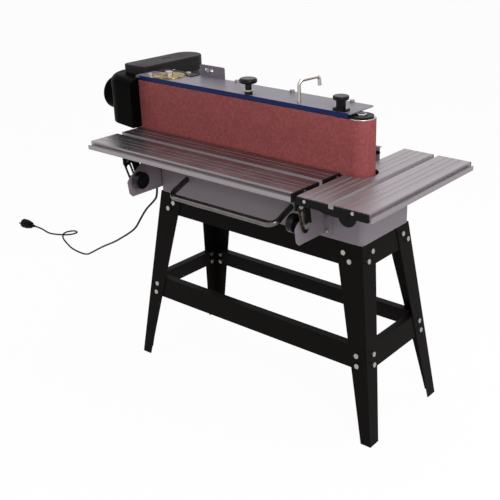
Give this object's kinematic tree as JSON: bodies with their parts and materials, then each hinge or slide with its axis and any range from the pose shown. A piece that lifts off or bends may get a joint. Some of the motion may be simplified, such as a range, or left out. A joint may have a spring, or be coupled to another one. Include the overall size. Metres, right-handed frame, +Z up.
{
  "type": "belt sander",
  "caption": "Horizontal belt sander on a splayed steel stand, with tilting front and end tables, tension lever, tracking knob, drum guard with dust port, lifting handle and mains cord.",
  "frame": {"origin": "on the floor under the middle of the machine's box", "axes": "+X along the sanding belt towards the end table, +Y away from the operator, +Z up"},
  "size_m": [2.1546, 0.6098, 0.9292],
  "materials": {
    "black_paint": "satin black paint",
    "grey_paint": "grey paint",
    "blue_paint": "blue paint",
    "table_aluminium": "mill finish extrusion",
    "cast_aluminium": "black-painted casting",
    "turned_aluminium": "turned",
    "bare_steel": "ground",
    "zinc": "zinc plated",
    "polished": "bright plated",
    "yellow_zinc": "yellow plated",
    "black_plastic": "moulded, fine grain",
    "green_plastic": "moulded",
    "red_plastic": "moulded",
    "abrasive": "abrasive cloth",
    "black_rubber": "matte rubber"
  },
  "bodies": {
    "machine": {"stand_leg_front_left": "black_paint", "stand_leg_front_right": "black_paint", "stand_leg_rear_left": "black_paint", "stand_leg_rear_right": "black_paint", "stand_rail_front": "black_paint", "stand_rail_rear": "black_paint", "stand_rail_left": "black_paint", "stand_rail_right": "black_paint", "stand_stretcher_front": "black_paint", "stand_stretcher_rear": "black_paint", "stand_stretcher_left": "black_paint", "stand_stretcher_right": "black_paint", "end_table_carrier": "black_paint", "tracking_bracket": "black_paint", "motor_body": "cast_aluminium", "base_cabinet": "grey_paint", "table_bracket_left": "grey_paint", "table_bracket_right": "grey_paint", "top_cover": "grey_paint", "rear_sheet": "grey_paint", "head_frame": "grey_paint", "front_trim": "blue_paint", "platen": "bare_steel", "drum_bearings": "bare_steel", "tension_spring": "bare_steel", "stand_bolts": "zinc", "bracket_pins": "zinc", "machine_screws": "zinc", "lift_handle": "polished", "column_flange": "yellow_zinc", "drive_cover": "black_plastic", "drum_guard": "black_plastic", "switch_box": "black_plastic", "cord_gland": "black_plastic", "plug": "black_plastic", "sanding_belt": "abrasive", "cord": "black_rubber", "v_belt": "black_rubber"},
    "front_table": {"front_table": "table_aluminium", "front_table_arm_left": "black_paint", "front_table_end_plate": "black_paint", "table_struts": "zinc", "front_table_screws": "zinc"},
    "end_table": {"end_table": "table_aluminium", "end_table_plate_front": "black_paint", "end_table_plate_rear": "black_paint", "end_table_screws": "zinc"},
    "clamp_knob_left": {"clamp_knob_left": "black_plastic"},
    "clamp_knob_right": {"clamp_knob_right": "black_plastic"},
    "drum": {"drive_drum": "turned_aluminium", "drum_pulley": "turned_aluminium"},
    "motor_rotor": {"motor_rotor": "bare_steel"},
    "tension_slide": {"tension_slide": "black_paint"},
    "idler": {"idler_roller": "turned_aluminium"},
    "tension_lever": {"tension_lever": "polished"},
    "tracking_knob": {"tracking_knob": "black_plastic"},
    "top_knob": {"top_knob": "black_plastic"},
    "guard_catch": {"guard_catch": "black_paint"},
    "start_button": {"start_button": "green_plastic"},
    "stop_button": {"stop_button": "red_plastic"}
  },
  "joints": [
    {"name": "front_table_tilt", "type": "hinge", "parent": "machine", "child": "front_table", "pos_m": [0, -0.084, 0.664], "axis": [1, 0, 0], "range_deg": [0, 15]},
    {"name": "end_table_tilt", "type": "hinge", "parent": "machine", "child": "end_table", "pos_m": [0.519, 0, 0.678], "axis": [0, 1, 0], "range_deg": [0, 45]},
    {"name": "clamp_knob_left_turn", "type": "hinge", "parent": "machine", "child": "clamp_knob_left", "pos_m": [-0.22, -0.218, 0.605], "axis": [1, 0, 0], "range_deg": [0, 360]},
    {"name": "clamp_knob_right_turn", "type": "hinge", "parent": "machine", "child": "clamp_knob_right", "pos_m": [0.32, -0.218, 0.605], "axis": [1, 0, 0], "range_deg": [-360, 0]},
    {"name": "drum_spin", "type": "hinge", "parent": "machine", "child": "drum", "pos_m": [-0.448, 0.008, 0.771], "axis": [0, 0, 1], "continuous": true},
    {"name": "motor_spin", "type": "hinge", "parent": "machine", "child": "motor_rotor", "pos_m": [-0.448, 0.197, 0.771], "axis": [0, 0, 1], "continuous": true},
    {"name": "tension_slide_move", "type": "slide", "parent": "machine", "child": "tension_slide", "axis": [1, 0, 0], "range_m": [-0.009, 0], "deforming": ["tension_spring"]},
    {"name": "idler_spin", "type": "hinge", "parent": "tension_slide", "child": "idler", "pos_m": [0.39, -0.0247, 0.771], "axis": [0, 0, 1], "continuous": true},
    {"name": "tension_lever_turn", "type": "hinge", "parent": "machine", "child": "tension_lever", "pos_m": [0.206, -0.045, 0.86], "axis": [0, 0, 1], "range_deg": [0, 90]},
    {"name": "tracking_knob_turn", "type": "hinge", "parent": "machine", "child": "tracking_knob", "pos_m": [0.339, -0.044, 0.88], "axis": [0, 0, 1], "range_deg": [-360, 360]},
    {"name": "top_knob_turn", "type": "hinge", "parent": "machine", "child": "top_knob", "pos_m": [0.035, -0.05, 0.88], "axis": [0, 0, 1], "range_deg": [-180, 180]},
    {"name": "guard_catch_turn", "type": "hinge", "parent": "machine", "child": "guard_catch", "pos_m": [0.357, 0.099, 0.719], "axis": [0, 1, 0], "range_deg": [0, 90]},
    {"name": "start_press", "type": "slide", "parent": "machine", "child": "start_button", "axis": [1, 0, 0], "range_m": [0, 0.003], "stiffness_N_per_m": 500},
    {"name": "stop_press", "type": "slide", "parent": "machine", "child": "stop_button", "axis": [1, 0, 0], "range_m": [0, 0.003], "stiffness_N_per_m": 500}
  ],
  "couplings": [
    {"joint": "motor_spin", "follows": "drum_spin", "ratio": 0.71429},
    {"joint": "idler_spin", "follows": "drum_spin", "ratio": 1.8947},
    {"joint": "tension_lever_turn", "follows": "tension_slide_move", "rad_per_m": -174.53}
  ]
}
